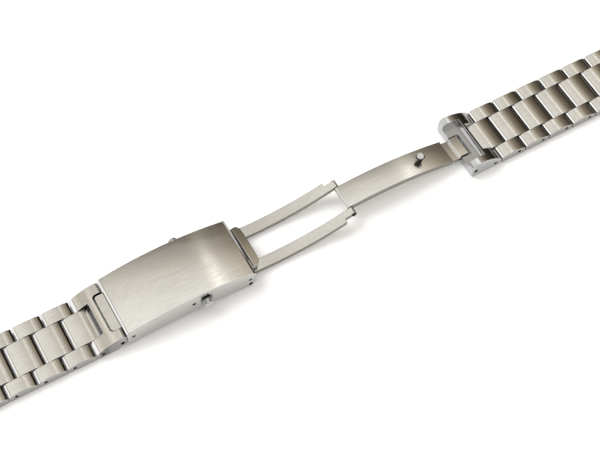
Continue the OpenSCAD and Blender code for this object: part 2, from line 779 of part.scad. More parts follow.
module blade() {
    color(steel) translate([shift_x, 0, 0]) difference() {
        union() {
            across(2 * blade_half) blade_profile();
            across(2 * neck_half) neck_profile();
        }
        pin(mid_hinge_x, mid_hinge_z, hinge_pin_r + pin_run, band_w);
        pin(conn_pin_x, conn_pin_z, hinge_pin_r + pin_run, band_w);
        // seat of the stud's rivet
        translate([stud_x, 0, 0]) cylinder(r = stud_waist_d / 2 + pin_fix, h = cut, $fn = fine);
    }
}

// The mushroom stud that the jaws hold, riveted through the blade.
module catch_stud() {
    top = hump(stud_x, blade_high_x, blade_high_z, blade_bend_r);
    w = stud_waist_d / 2;
    h = stud_head_d / 2;
    z = stud_waist_h;
    color(bright_steel) translate([shift_x + stud_x, 0, top]) intersection() {
        rotate_extrude($fn = fine) polygon([
            [0, -blade_t + 0.15], [w, -blade_t + 0.15], [w, z - 0.1], [h, z],
            [h, z + stud_head_h - 0.3], [h - 0.35, z + stud_head_h], [0, z + stud_head_h]]);
        // four flats turned a little against the blade
        rotate([0, 0, 22]) translate([-stud_flat, -stud_flat, -blade_t])
            cube([2 * stud_flat, 2 * stud_flat, cut]);
    }
}

// Side view of the connector: a tall rounded nose, falling to a link's end.
module connector_profile() {
    left = [conn_left_x + nose_r, nose_z];
    right = [conn_right_x, end_wall];
    difference() {
        polygon([[conn_left_x, 0], [conn_left_x, nose_z], [right[0], nose_z], [right[0], 0]]);
        difference() {
            translate([left[0], end_wall]) square([right[0] - left[0] + 1, cut]);
            translate(arc_centre(left, right, conn_arc_r)) circle(conn_arc_r, $fn = 4 * fine);
        }
        translate(left - [nose_r, 0]) mirror([0, 1]) corner_waste(nose_r);
        translate([conn_left_x, 0]) corner_waste(nose_foot_r);
        translate([right[0], 0]) mirror([1, 0]) corner_waste(foot_r);
    }
}

module connector() {
    color(bright_steel) translate([shift_x, 0, 0]) difference() {
        intersection() {
            across(band_w) connector_profile();
            along(conn_left_x - 1, conn_right_x + 1) band_section(band_w, nose_z + 1, rim_r);
        }
        // pocket that closes round the end bar, with a cove on the right
        across(2 * pocket_half) {
            translate([conn_left_x - 1, ledge_z]) square([cove_x - conn_left_x + 1, cut]);
            translate([cove_x, ledge_z]) square([cove_r * 0.6, cut]);
            translate([cove_x, cove_z]) circle(cove_r, $fn = fine);
            translate([cove_x, cove_z]) square([cove_r, cut]);
        }
        slot(conn_left_x - 1, slot_end_x, block_slot_half, 0.3);
        translate([right_gap_x, 0, 0]) mirror([1, 0, 0])
            slot(-link_len, slot_reach, slot_half, slot_corner_r);
        pin(conn_pin_x, conn_pin_z, hinge_pin_r + pin_fix, band_w);
        pin(right_gap_x - pin_step, link_pin_z, link_pin_r + pin_fix, band_w);
    }
}

module connector_pins() {
    color(dark_steel) translate([shift_x, 0, 0]) {
        pin(conn_pin_x, conn_pin_z, hinge_pin_r, pin_end);
        pin(right_gap_x - pin_step, link_pin_z, link_pin_r, pin_end);
    }
}

clasp_cover();
cover_tongue();
end_bar();
cover_pins();
catch_housing();
button_near();
button_far();
spring_near();
spring_far();
folding_arms();
arm_pivot_pins();
mid_hinge_pin();
blade();
catch_stud();
end_fork();
end_fork_pins();
connector();
connector_pins();
for (k = [0 : left_rows]) {
    left_at(k) centre_link();
}
for (k = [1 : left_rows]) {
    left_at(k - 0.5) outer_links();
    left_at(k - 0.5) link_pins();
}
for (k = [0 : right_rows]) {
    right_at(k) centre_link();
}
for (k = [1 : right_rows]) {
    right_at(k - 0.5) outer_links();
    right_at(k - 0.5) link_pins();
}
left_at(left_rows) end_link();  // left_end_link
left_at(left_rows) end_link_pin();  // left_end_pin
right_at(right_rows) end_link();  // right_end_link
right_at(right_rows) end_link_pin();  // right_end_pin
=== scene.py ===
"""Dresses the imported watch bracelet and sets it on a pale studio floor."""
import json
import math
from typing import NamedTuple

import bmesh
import bpy
from bpy.props import FloatProperty, FloatVectorProperty, PointerProperty
from mathutils import Matrix, Vector

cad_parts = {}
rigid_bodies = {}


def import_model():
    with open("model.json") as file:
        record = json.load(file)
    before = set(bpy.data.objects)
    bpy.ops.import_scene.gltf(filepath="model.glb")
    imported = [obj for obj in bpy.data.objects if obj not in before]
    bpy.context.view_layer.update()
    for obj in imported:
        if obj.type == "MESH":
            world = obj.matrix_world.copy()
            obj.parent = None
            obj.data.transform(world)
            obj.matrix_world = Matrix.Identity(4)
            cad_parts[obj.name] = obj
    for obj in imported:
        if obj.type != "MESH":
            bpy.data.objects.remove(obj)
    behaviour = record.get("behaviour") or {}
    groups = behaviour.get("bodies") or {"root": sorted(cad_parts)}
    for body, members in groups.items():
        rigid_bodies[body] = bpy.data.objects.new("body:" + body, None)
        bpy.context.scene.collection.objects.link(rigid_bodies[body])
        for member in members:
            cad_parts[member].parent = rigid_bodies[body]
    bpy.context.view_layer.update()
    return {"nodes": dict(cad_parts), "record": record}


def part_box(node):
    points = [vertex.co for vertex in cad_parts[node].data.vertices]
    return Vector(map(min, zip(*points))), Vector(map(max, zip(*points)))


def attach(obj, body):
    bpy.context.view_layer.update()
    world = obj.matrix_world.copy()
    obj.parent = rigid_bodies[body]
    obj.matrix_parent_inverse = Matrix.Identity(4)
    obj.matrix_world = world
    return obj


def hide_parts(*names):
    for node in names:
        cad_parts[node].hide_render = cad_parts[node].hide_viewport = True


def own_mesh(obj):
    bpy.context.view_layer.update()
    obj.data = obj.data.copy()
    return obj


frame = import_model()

bl_info = {
    "name": "Watch bracelet",
    "version": (1, 0, 0),
    "blender": (4, 5, 0),
    "location": "View3D > Sidebar > Bracelet",
    "description": "Finishes the steel watch bracelet and its open folding clasp",
    "category": "Object",
}

NODES = frame["nodes"]
MM = 0.001


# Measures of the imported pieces

# Two pins of one node stand further apart than this
PIN_GAP = 0.5 * MM


def middle_x(node):
    low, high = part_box(node)
    return (low[0] + high[0]) / 2


def half_length(node):
    low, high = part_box(node)
    return (high[0] - low[0]) / 2


def pin_axes(node):
    """The middle (x, z) and radius of each pin in a node whose pins stand apart along X."""
    points = sorted((v.co.x, v.co.z) for v in NODES[node].data.vertices)
    groups = [[points[0]]]
    for before, point in zip(points, points[1:]):
        if point[0] - before[0] > PIN_GAP:
            groups.append([])
        groups[-1].append(point)
    axes = []
    for group in groups:
        low, high = group[0][0], group[-1][0]
        heights = [z for x, z in group]
        axes.append(((low + high) / 2, (min(heights) + max(heights)) / 2, (high - low) / 2))
    return axes


def bores_of(node, *pins):
    """The pin bores in a node's side, along the band from the node's middle."""
    middle = middle_x(node)
    return [(x - middle, z, radius) for each in pins for x, z, radius in pin_axes(each)]


LINK_PITCH = middle_x("right_centre_2") - middle_x("right_centre_1")


# Small helpers

def linear(hex_code):
    """An sRGB hex colour as linear RGBA."""
    parts = [int(hex_code[i:i + 2], 16) / 255 for i in (1, 3, 5)]
    parts = [c / 12.92 if c <= 0.04045 else ((c + 0.055) / 1.055) ** 2.4 for c in parts]
    return (*parts, 1.0)


def shaded(base, share):
    """A colour darkened by a share of itself."""
    return tuple(c * (1 - share) for c in base[:3]) + (1.0,)


def colour(name, description, hex_code):
    return FloatVectorProperty(name=name, description=description, subtype="COLOR", size=4,
                               min=0, max=1, default=linear(hex_code))


def length(name, description, metres):
    return FloatProperty(name=name, description=description, default=metres, unit="LENGTH",
                         subtype="DISTANCE", precision=6)


def add(tree, kind, *inputs, **settings):
    """Adds a shader node with its settings and links. Its inputs come in order, or by name in a
    dictionary, and a node among them stands for its first output."""
    made = tree.nodes.new("ShaderNode" + kind)
    for key, value in settings.items():
        setattr(made, key, value)
    sockets = [socket for socket in made.inputs if socket.enabled]
    if inputs and isinstance(inputs[0], dict):
        sockets, inputs = [made.inputs[name] for name in inputs[0]], inputs[0].values()
    for socket, value in zip(sockets, inputs):
        if isinstance(value, bpy.types.Node):
            value = next(output for output in value.outputs if output.enabled)
        if isinstance(value, bpy.types.NodeSocket):
            tree.links.new(value, socket)
        else:
            socket.default_value = value
    return made


# Settings that a user would change

class SteelSettings(bpy.types.PropertyGroup):
    """Finishes of the bracelet's steel."""
    brushed: colour("Brushed steel", "Colour of the brushed tops", "#DAD8D2")
    # partly painted shade: the ground sides' colour is darker than the finish alone, for the
    # shaded floor they reflect
    ground: colour("Ground steel", "Colour of the flat ground sides", "#B4B3B1")
    # painted light: the cover's sides are the same ground steel as the others, in a lighter colour
    lit_cover_side: colour("Cover side", "Colour of the finer ground sides of the cover", "#CDCCCA")
    polished: colour("Polished steel", "Colour of the polished ends and edges", "#EDEDEC")
    chrome: colour("Mirror steel", "Colour of the mirror-polished connector and stud", "#C2C3C4")
    inner: colour("Inner steel", "Colour of the pressed parts and their cut sides", "#8F8C86")
    # painted shade: the pins' ends are nearly black, as the shade in their bores; the springs and
    # the stud below its head take this colour too
    pins: colour("Pin steel", "Colour of the pins' turned ends", "#1E1D1C")
    stroke_gap: length("Stroke gap", "Distance between two brush strokes", 0.35 * MM)
    stroke_length: length("Stroke length", "Length of one brush stroke", 7 * MM)
    edge: length("Broken edge", "Width of the bevel on a link's edges", 0.2 * MM)
    cover_crown: length("Cover crown", "Radius of the slight crown across the cover", 72 * MM)
    blade_crown: length("Blade crown", "Radius of the slight crown across the blade", 38 * MM)
    spring_wire: length("Spring wire", "Thickness of the catch springs' wire", 0.26 * MM)


class StageSettings(bpy.types.PropertyGroup):
    """Floor, light and camera."""
    floor: colour("Floor", "Colour of the pale floor", "#F7F7F7")
    glow: FloatProperty(name="Glow", description="Light that the white floor passes from below",
                        default=0.1, min=0)
    key: FloatProperty(name="Key light", description="Strength of the soft key light",
                       default=1.5, min=0)
    lens: FloatProperty(name="Lens", description="Focal length of the camera",
                        default=80.14, min=10, unit="CAMERA")


# Patterns on the steel

# How squarely a face looks along the band to be a wall, across it to be a side, or up
WALL_FACES = (0.82, 0.92)
SIDE_FACES = (0.60, 0.75)
UPWARD_FACES = (0.6, 0.9)
# The middle of a noise, which is spread over the whole of what it varies
NOISE_MIDDLE = (0.3, 0.7)
# Size of the clouds of wear along, across and through the band
CLOUDS = (14 * MM, 5 * MM, 5 * MM)
# How much darker the streaks of a top, its scuffs and the streaks of a side are
TOP_STREAKS = 0.10
TOP_SCUFFS = 0.05
SIDE_STREAKS = 0.07
# How far the clouds and the streaks move the roughness of brushed steel, and the clouds' least
# and most of that of a polished end
CLOUD_GLOSS = 0.04
STREAK_GLOSS = 0.035
END_GLOSS = (0.7, 1.5)
# How much brushed steel smears a reflection
SMEAR = 0.85
# Depth of the finest marks, how strongly they show when brushed and when polished, and how much
# of the brush strokes is left at an end
MARK_DEPTH = 0.02 * MM
BRUSHED_MARKS = 0.09
POLISHED_MARKS = 0.06
END_MARKS = 0.1
# Half the width of the soft line where a polished chamfer starts
CHAMFER_LINE = 0.03 * MM
# The dark line of painted shade before a chamfer: its distance, its half width and where that
# fades out
CREASE_AWAY = 0.08 * MM
CREASE_FADE = (0.05 * MM, 0.12 * MM)
CREASE_STRENGTH = 0.6
# Half the width of the line between the polished left chamfer and the right one,
# which painted shade darkens
SHADE_SIDE_LINE = 0.01 * MM
# How far past a pin the painted shade on its bore's wall reaches, and where it fades out
BORE_FADE = (0.02 * MM, 0.07 * MM)
# How dark the painted shade is in the creases and in the bores
CREASE_SHADE = 0.85
BORE_SHADE = 0.96
# Grain of a polished surface's haze and of its finer marks, how much darker these are, and the
# haze's least and most of the roughness
HAZE = (1.5 * MM, 1.5 * MM, 1.5 * MM)
FINE_MARKS = (0.4 * MM, 0.4 * MM, 0.4 * MM)
FINE_SHADE = 0.05
HAZE_GLOSS = (0.7, 1.4)
# Low on a polished piece, where shade is painted and the steel is rougher: half the height over
# which that fades, how much darker the marks are there and how much rougher the steel is
SHADE_AND_POLISH_LINE = 0.1 * MM
SHADE_MARKS = 0.25
DULL_GLOSS = 0.2
# Heights below which shade is painted: in the connector's pocket and under the stud's head
CONNECTOR_POCKET = 4 * MM
STUD_HEAD = 8.05 * MM
# Rays that round an edge
EDGE_SAMPLES = 6


def new_material(name):
    material = bpy.data.materials.new(name)
    material.use_nodes = True
    material.node_tree.nodes.clear()
    return material, material.node_tree


def grain(tree, place, sizes, detail, roughness=0.5):
    """Noise whose grain has the given sizes along X, Y and Z, in metres."""
    scaled = add(tree, "Mapping", {"Vector": place, "Scale": tuple(1 / size for size in sizes)})
    return add(tree, "TexNoise", {
        "Vector": scaled, "Scale": 1.0, "Detail": detail, "Roughness": roughness})


def facing(tree, coordinates, letter, squareness):
    """A mask of the faces that look along an axis, either way."""
    normal = add(tree, "SeparateXYZ", coordinates.outputs["Normal"]).outputs[letter]
    along = add(tree, "Math", normal, operation="ABSOLUTE")
    return add(tree, "MapRange", along, *squareness, 0.0, 1.0)


def bore_shade_mask(tree, x, coordinates, bores):
    """Mask of the pin bores' walls for painted shade; each bore a middle (x, z) and a radius."""
    z = add(tree, "SeparateXYZ", coordinates.outputs["Object"]).outputs["Z"]
    painted_shade = 0.0
    for across, height, radius in bores:
        dx = add(tree, "Math", x, across, operation="SUBTRACT")
        dz = add(tree, "Math", z, height, operation="SUBTRACT")
        square = add(tree, "Math", dz, dz, operation="MULTIPLY")
        square = add(tree, "Math", dx, dx, square, operation="MULTIPLY_ADD")
        apart = add(tree, "Math", square, operation="SQRT")
        bore = add(tree, "MapRange", apart, radius + BORE_FADE[0], radius + BORE_FADE[1], 1.0, 0.0)
        painted_shade = add(tree, "Math", painted_shade, bore, operation="MAXIMUM")
    side = facing(tree, coordinates, "Y", SIDE_FACES)
    inward = add(tree, "Math", 1.0, side, operation="SUBTRACT")
    return add(tree, "Math", painted_shade, inward, operation="MULTIPLY")


# Curves of the tops that only the shading shows, as the photograph's reflections ask for them

# A link's top from the side: the CAD's is a flat arc between two sloping shoulders, which meet it
# in a soft corner, and the polished one is a single rounder arc
CAD_ARC = 20 * MM
SHOULDER_SLOPE = 0.3
SHOULDER_DROP = 0.5775 * MM
SHOULDER_BLEND = 0.036 * MM
POLISHED_ARC = 10 * MM

# Slopes along the band: of its rows, of the bar past the cover's right end and of the blade
ROW_LEAN = 0.04
BAR_LEAN = 0.26
BLADE_LEAN = -0.07
# Where the blade starts to bend down, and the radius of that bend
BLADE_DROOP = (35.2 * MM, 90 * MM)
# Radius of the fork's hollow top, and the widths of its left and right chamfers
FORK_HOLLOW = 7 * MM
FORK_CHAMFERS = (0.9 * MM, 0.1 * MM)


class Form(NamedTuple):
    """The curves of a piece's top, each left out where it is nought."""
    # the piece whose middle and ends count, and the distance at which it repeats in a row
    node: str = ""
    pitch: float = 0.0
    # radius of the crown across the band, and slope along it
    crown: float = 0.0
    lean: float = 0.0
    # radius of a hollow along the band
    hollow: float = 0.0
    # where the top starts to bend down to the right, and the radius of the bend
    droop: tuple = ()
    # widths of the chamfers at the left and right ends, and their slope
    chamfers: tuple = (0.5 * MM, 0.5 * MM)
    slope: float = 0.5


def from_middle(tree, place, middle, pitch=0.0):
    """The distance along the band to a piece's middle, or to the nearest link's middle in a row
    of links that stand one pitch apart."""
    x = add(tree, "SeparateXYZ", place).outputs["X"]
    if not pitch:
        return add(tree, "Math", x, middle, operation="SUBTRACT")
    turn = add(tree, "Math", x, 1 / pitch, 0.5 - middle / pitch, operation="MULTIPLY_ADD")
    turn = add(tree, "Math", turn, operation="FRACT")
    return add(tree, "Math", turn, pitch, -pitch / 2, operation="MULTIPLY_ADD")


def past_top(tree, out, half, chamfers):
    """How far a place lies past the flat top, into the chamfer at either end."""
    left = add(tree, "Math", out, -1.0, chamfers[0] - half, operation="MULTIPLY_ADD")
    right = add(tree, "Math", out, half - chamfers[1], operation="SUBTRACT")
    return add(tree, "Math", left, right, operation="MAXIMUM")


def arc(tree, across, radius):
    """The height of a curve of a radius over its lowest place, at a distance across from it."""
    square = add(tree, "Math", across, across, operation="MULTIPLY")
    return add(tree, "Math", square, 0.5 / radius, operation="MULTIPLY")


def link_arc(tree, out):
    """What the polished-in curve of a link's top takes off the modelled one."""
    away = add(tree, "Math", out, operation="ABSOLUTE")
    shoulder = add(tree, "Math", away, SHOULDER_SLOPE, -SHOULDER_DROP, operation="MULTIPLY_ADD")
    modelled = add(tree, "Math", arc(tree, out, CAD_ARC), shoulder, SHOULDER_BLEND,
                   operation="SMOOTH_MAX")
    return add(tree, "Math", modelled, arc(tree, out, POLISHED_ARC), operation="SUBTRACT")


def droop_along(tree, place, start, radius):
    """How far a piece's top bends down to the right of a place along the band."""
    past = add(tree, "Math", from_middle(tree, place, start), 0.0, operation="MAXIMUM")
    return arc(tree, past, -radius)


def hollow_along(tree, out, half, chamfer, radius):
    """How far a piece's top, polished hollow, stands above its right end. It stops short of the
    chamfer at the left end."""
    left = add(tree, "Math", out, half, operation="SUBTRACT")
    left = add(tree, "Math", left, chamfer - 2 * half, operation="MAXIMUM")
    return arc(tree, left, radius)


def top_heights(tree, form, place):
    """The heights of the curves that run over a whole top."""
    heights = []
    if form.lean:
        along = add(tree, "SeparateXYZ", place).outputs["X"]
        heights.append(add(tree, "Math", along, -form.lean, operation="MULTIPLY"))
    if form.crown:
        across = add(tree, "SeparateXYZ", place).outputs["Y"]
        heights.append(arc(tree, across, -form.crown))
    if form.droop:
        heights.append(droop_along(tree, place, *form.droop))
    return heights


def end_heights(tree, form, out, half, past, top_only):
    """The heights of the curves that count from a piece's ends."""
    heights = []
    if form.pitch:
        heights.append(link_arc(tree, out))
    if form.hollow:
        heights.append(hollow_along(tree, out, half, form.chamfers[0], form.hollow))
    if form.slope:
        fall = add(tree, "Math", past, 0.0, operation="MAXIMUM")
        fall = add(tree, "Math", fall, top_only, operation="MULTIPLY")
        heights.append(add(tree, "Math", fall, -form.slope, operation="MULTIPLY"))
    return heights


# Materials

def band_steel(name, colours, form=Form(), rough=(0.22, 0.10), round_grain=False, painted_shade=0.0,
               bores=()):
    """Stainless steel as a bracelet wears it. The tops are drawn lengthwise over a belt, which
    leaves fine streaks and smears reflections across them; the flat sides are ground, so they
    are cooler and more even; the ends and the narrow chamfers beside them are polished. Between
    two pieces the walls and the right chamfers are darkened with painted shade, for the shade
    in the gap. A wide piece is crowned a little across.
    The streaks are about three times too wide, so that they show at this size.

    The colours are those of top, side and end, the two roughnesses those of brushed and polished
    steel, and painted_shade is how much painted shade darkens the walls between two pieces."""
    s = bpy.context.scene.steel_settings
    top, side, end = (tuple(each) for each in colours)
    brushed_rough, end_rough = rough
    gap = s.stroke_gap
    stroke = gap if round_grain else s.stroke_length
    material, tree = new_material(name)
    coordinates = add(tree, "TexCoord")
    place = coordinates.outputs["Object"]
    is_wall = facing(tree, coordinates, "X", WALL_FACES)
    is_side = facing(tree, coordinates, "Y", SIDE_FACES)

    # brush streaks, broader scuffs and clouds of wear
    streaks = grain(tree, place, (stroke, gap, gap), 3.0, 0.6)
    scuffs = grain(tree, place, (stroke * 0.4, gap * 3, gap * 3), 2.0)
    clouds = grain(tree, place, CLOUDS, 2.0)
    level = add(tree, "MapRange", streaks, *NOISE_MIDDLE, 0.0, 1.0)
    scuffed = add(tree, "MapRange", scuffs, *NOISE_MIDDLE, 0.0, 0.5)
    brushed = add(tree, "Mix", level, shaded(top, TOP_STREAKS), top, data_type="RGBA")
    brushed = add(tree, "Mix", scuffed, brushed, shaded(top, TOP_SCUFFS), data_type="RGBA")
    ground = add(tree, "Mix", level, shaded(side, SIDE_STREAKS), side, data_type="RGBA")
    tint = add(tree, "Mix", is_side, brushed, ground, data_type="RGBA")
    is_end = is_wall
    heights = top_heights(tree, form, place)

    # a polished chamfer at each end of the top, the right one darkened with painted shade, and
    # a dark line of painted shade beside each
    if form.node:
        half = half_length(form.node)
        out = from_middle(tree, place, middle_x(form.node), form.pitch)
        past = past_top(tree, out, half, form.chamfers)
        top_only = add(tree, "Math", 1.0, is_side, operation="SUBTRACT")
        chamfer = add(tree, "MapRange", past, -CHAMFER_LINE, CHAMFER_LINE, 0.0, 1.0)
        chamfer = add(tree, "Math", chamfer, top_only, operation="MULTIPLY")
        # painted shade: a dark line just before each chamfer
        beside = add(tree, "Math", past, CREASE_AWAY, operation="ADD")
        beside = add(tree, "Math", beside, operation="ABSOLUTE")
        edge_shade_line = add(tree, "MapRange", beside, *CREASE_FADE, CREASE_STRENGTH, 0.0)
        edge_shade_line = add(tree, "Math", edge_shade_line, top_only, operation="MULTIPLY")
        # painted shade darkens the right chamfer, for the shade in the gap beside it
        on_right = add(tree, "MapRange", out, -SHADE_SIDE_LINE, SHADE_SIDE_LINE, 0.0, 1.0)
        edge_tint = add(tree, "Mix", on_right, end, shaded(end, painted_shade), data_type="RGBA")
        tint = add(tree, "Mix", chamfer, tint, edge_tint, data_type="RGBA")
        tint = add(tree, "Mix", edge_shade_line, tint, shaded(top, CREASE_SHADE), data_type="RGBA")
        is_end = add(tree, "Math", is_wall, chamfer, operation="MAXIMUM")
        heights += end_heights(tree, form, out, half, past, top_only)

    # painted shade darkens the walls between two pieces
    tint = add(tree, "Mix", is_wall, tint, shaded(end, painted_shade), data_type="RGBA")
    # painted shade on the walls of the pin bores
    if bores:
        bore_shaded = bore_shade_mask(tree, out, coordinates, bores)
        tint = add(tree, "Mix", bore_shaded, tint, shaded(side, BORE_SHADE), data_type="RGBA")

    # the clouds and the streaks vary the gloss
    mist = add(tree, "MapRange", clouds, *NOISE_MIDDLE,
               brushed_rough - CLOUD_GLOSS, brushed_rough + CLOUD_GLOSS)
    drawn = add(tree, "MapRange", streaks, *NOISE_MIDDLE, STREAK_GLOSS, -STREAK_GLOSS)
    drawn = add(tree, "Math", mist, drawn, operation="ADD")
    buffed = add(tree, "MapRange", clouds, *NOISE_MIDDLE,
                 end_rough * END_GLOSS[0], end_rough * END_GLOSS[1])
    roughness = add(tree, "Mix", is_end, drawn, buffed)

    # the streaks are almost polished out of the ends
    depth = add(tree, "MapRange", is_end, 0.0, 1.0, 1.0, END_MARKS)
    depth = add(tree, "Math", streaks, depth, operation="MULTIPLY")
    normal = add(tree, "Bevel", s.edge, samples=EDGE_SAMPLES)
    normal = add(tree, "Bump", {
        "Height": depth, "Strength": BRUSHED_MARKS, "Distance": MARK_DEPTH, "Normal": normal})
    if heights:
        shape = heights[0]
        for height in heights[1:]:
            shape = add(tree, "Math", shape, height, operation="ADD")
        normal = add(tree, "Bump", {
            "Height": shape, "Strength": 1.0, "Distance": 1.0, "Normal": normal})

    # only the brushed tops smear reflections, and they do so across the band
    even = add(tree, "Math", is_end, is_side, operation="MAXIMUM")
    smear = add(tree, "MapRange", even, 0.0, 1.0, SMEAR, 0.0)
    across = add(tree, "VectorTransform", (0.0, 1.0, 0.0), vector_type="VECTOR",
                 convert_from="OBJECT", convert_to="WORLD")
    shader = add(tree, "BsdfPrincipled", {
        "Base Color": tint, "Metallic": 1.0, "Roughness": roughness, "Normal": normal,
        "Anisotropic": smear, "Tangent": across})
    add(tree, "OutputMaterial", shader)
    return material


def polished_steel(name, base, rough=0.09, shade_colour=None, below=0.0, walls=0.0, bores=()):
    """Stainless steel buffed on a wheel: a near mirror with a faint haze of polishing marks.
    Below a height, the upward faces, and the walls as far as asked, are rougher and darker; the
    darker colour is painted shade."""
    base = tuple(base)
    material, tree = new_material(name)
    coordinates = add(tree, "TexCoord")
    place = coordinates.outputs["Object"]
    haze = grain(tree, place, HAZE, 4.0)
    fine = grain(tree, place, FINE_MARKS, 2.0)
    normal = add(tree, "Bevel", bpy.context.scene.steel_settings.edge, samples=EDGE_SAMPLES)
    normal = add(tree, "Bump", {
        "Height": haze, "Strength": POLISHED_MARKS, "Distance": MARK_DEPTH, "Normal": normal})
    level = add(tree, "MapRange", fine, *NOISE_MIDDLE, 0.0, 1.0)
    tint = add(tree, "Mix", level, shaded(base, FINE_SHADE), base, data_type="RGBA")
    roughness = add(tree, "MapRange", haze, *NOISE_MIDDLE,
                    rough * HAZE_GLOSS[0], rough * HAZE_GLOSS[1])
    # painted shade: low down, a darker colour where shade falls, on a rougher steel
    if shade_colour:
        up = add(tree, "SeparateXYZ", coordinates.outputs["Normal"]).outputs["Z"]
        up = add(tree, "MapRange", up, *UPWARD_FACES, walls, 1.0)
        low = add(tree, "SeparateXYZ", place).outputs["Z"]
        low = add(tree, "MapRange", low, below - SHADE_AND_POLISH_LINE, below + SHADE_AND_POLISH_LINE, 1.0, 0.0)
        in_shade = add(tree, "Math", low, up, operation="MULTIPLY")
        shade_tint = add(tree, "Mix", fine, shaded(shade_colour, SHADE_MARKS), tuple(shade_colour), data_type="RGBA")
        tint = add(tree, "Mix", in_shade, tint, shade_tint, data_type="RGBA")
        roughness = add(tree, "Math", in_shade, DULL_GLOSS, roughness, operation="MULTIPLY_ADD")
    # painted shade on the walls of the pin bores
    if bores:
        along = add(tree, "SeparateXYZ", place).outputs["X"]
        bore_shaded = bore_shade_mask(tree, along, coordinates, bores)
        tint = add(tree, "Mix", bore_shaded, tint, shaded(base, BORE_SHADE), data_type="RGBA")
    shader = add(tree, "BsdfPrincipled", {
        "Base Color": tint, "Metallic": 1.0, "Roughness": roughness, "Normal": normal})
    add(tree, "OutputMaterial", shader)
    return material


def row_steel(kind, colours):
    """The finish of a whole row of links, which repeats from the row's first full link."""
    node = kind.lower().removesuffix("_row_steel") + "_1"
    bores = bores_of(node, node.replace("outer", "pins")) if "outer" in node else ()
    form = Form(node, pitch=LINK_PITCH, lean=ROW_LEAN, slope=0.15)
    return band_steel(kind, colours, form, painted_shade=0.8, bores=bores)


def make_material(kind):
    """Makes the finish of a name: what is mirror-like is polished, and the rest brushed."""
    s = bpy.context.scene.steel_settings
    solid = (s.brushed, s.ground, s.polished)
    sheet = (s.brushed, s.inner, s.polished)
    if kind.endswith("_row_steel"):
        return row_steel(kind, solid)
    if kind == "Brushed_steel":
        return band_steel(kind, solid)
    if kind == "Fork_steel":
        form = Form("end_fork", hollow=FORK_HOLLOW, chamfers=FORK_CHAMFERS, slope=0.0)
        return band_steel(kind, solid, form, bores=bores_of("end_fork", "end_fork_pins"))
    if kind == "Cover_steel":
        form = Form("clasp_cover", crown=s.cover_crown)
        return band_steel(kind, (s.brushed, s.lit_cover_side, s.polished), form, painted_shade=0.5,
                          bores=bores_of("clasp_cover", "cover_pins", "arm_pivot_pins"))
    if kind == "Bar_steel":
        return band_steel(kind, solid, Form(crown=s.cover_crown, lean=BAR_LEAN))
    if kind == "Blade_steel":
        form = Form(crown=s.blade_crown, lean=BLADE_LEAN, droop=BLADE_DROOP)
        return band_steel(kind, sheet, form, rough=(0.24, 0.10))
    if kind == "Arm_steel":
        return band_steel(kind, sheet, rough=(0.24, 0.10))
    if kind == "Pressed_steel":
        return band_steel(kind, (s.inner,) * 3, rough=(0.36, 0.30))
    if kind == "Pin_steel":
        return band_steel(kind, (s.pins,) * 3, rough=(0.38, 0.38), round_grain=True)
    # painted shade in the connector's pocket, in the ground steel's colour
    if kind == "Mirror_steel":
        return polished_steel(kind, s.chrome, shade_colour=s.ground, below=CONNECTOR_POCKET,
                              bores=pin_axes("connector_pins"))
    # painted shade under the stud's head, nearly black
    if kind == "Stud_steel":
        return polished_steel(kind, s.chrome, shade_colour=s.pins, below=STUD_HEAD, walls=1.0)
    if kind == "Button_steel":
        return polished_steel(kind, s.chrome, rough=0.10)
    raise ValueError(kind)


def get_material(kind):
    """One shared material per finish, made when it is first asked for."""
    return bpy.data.materials.get(kind) or make_material(kind)


# Pieces

def paint(node, kind):
    """Gives a CAD node's own mesh a finish."""
    piece = NODES[node]
    piece.data.materials.clear()
    piece.data.materials.append(get_material(kind))


# A catch spring's coils, the steps that draw a coil and the sides of its wire
SPRING_TURNS = 7
SPRING_STEPS = 20
SPRING_SIDES = 8


def coil(name, low, high, wire):
    """A round wire of a radius, wound along Y to fill a box, with both ends closed."""
    middle = (low + high) / 2
    steps = SPRING_TURNS * SPRING_STEPS
    rise = (high.y - low.y - 2 * wire) / steps
    start = Matrix.Translation((high.x - wire, low.y + wire, middle.z))
    bm = bmesh.new()
    bmesh.ops.create_circle(bm, cap_ends=True, segments=SPRING_SIDES, radius=wire, matrix=start)
    bmesh.ops.spin(bm, geom=bm.verts[:] + bm.edges[:] + bm.faces[:], cent=middle, axis=(0, -1, 0),
                   dvec=(0, rise, 0), angle=2 * math.pi * SPRING_TURNS, steps=steps,
                   use_merge=False)
    bmesh.ops.recalc_face_normals(bm, faces=bm.faces)
    for face in bm.faces:
        face.smooth = len(face.verts) == 4
    mesh = bpy.data.meshes.new(name)
    bm.to_mesh(mesh)
    bm.free()
    return mesh


def wind_spring(name, node, joint):
    """A round coil spring in place of the coarser one in the CAD."""
    low, high = (Vector(corner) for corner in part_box(node))
    mesh = coil(name, low, high, bpy.context.scene.steel_settings.spring_wire / 2)
    mesh.materials.append(get_material("Pin_steel"))
    spring = bpy.data.objects.new(name, mesh)
    bpy.context.scene.collection.objects.link(spring)
    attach(spring, joint["parent"])
    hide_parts(node)
    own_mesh(spring)


class BRACELET_OT_links(bpy.types.Operator):
    """Finishes the centre and outer links: brushed tops, ground sides and polished ends"""
    bl_idname = "bracelet.links"
    bl_label = "Links"

    def execute(self, context):
        for side in ("left", "right"):
            for kind in ("centre", "outer"):
                for node in sorted(n for n in NODES if n.startswith(f"{side}_{kind}")):
                    paint(node, f"{side.title()}_{kind}_row_steel")
        return {"FINISHED"}


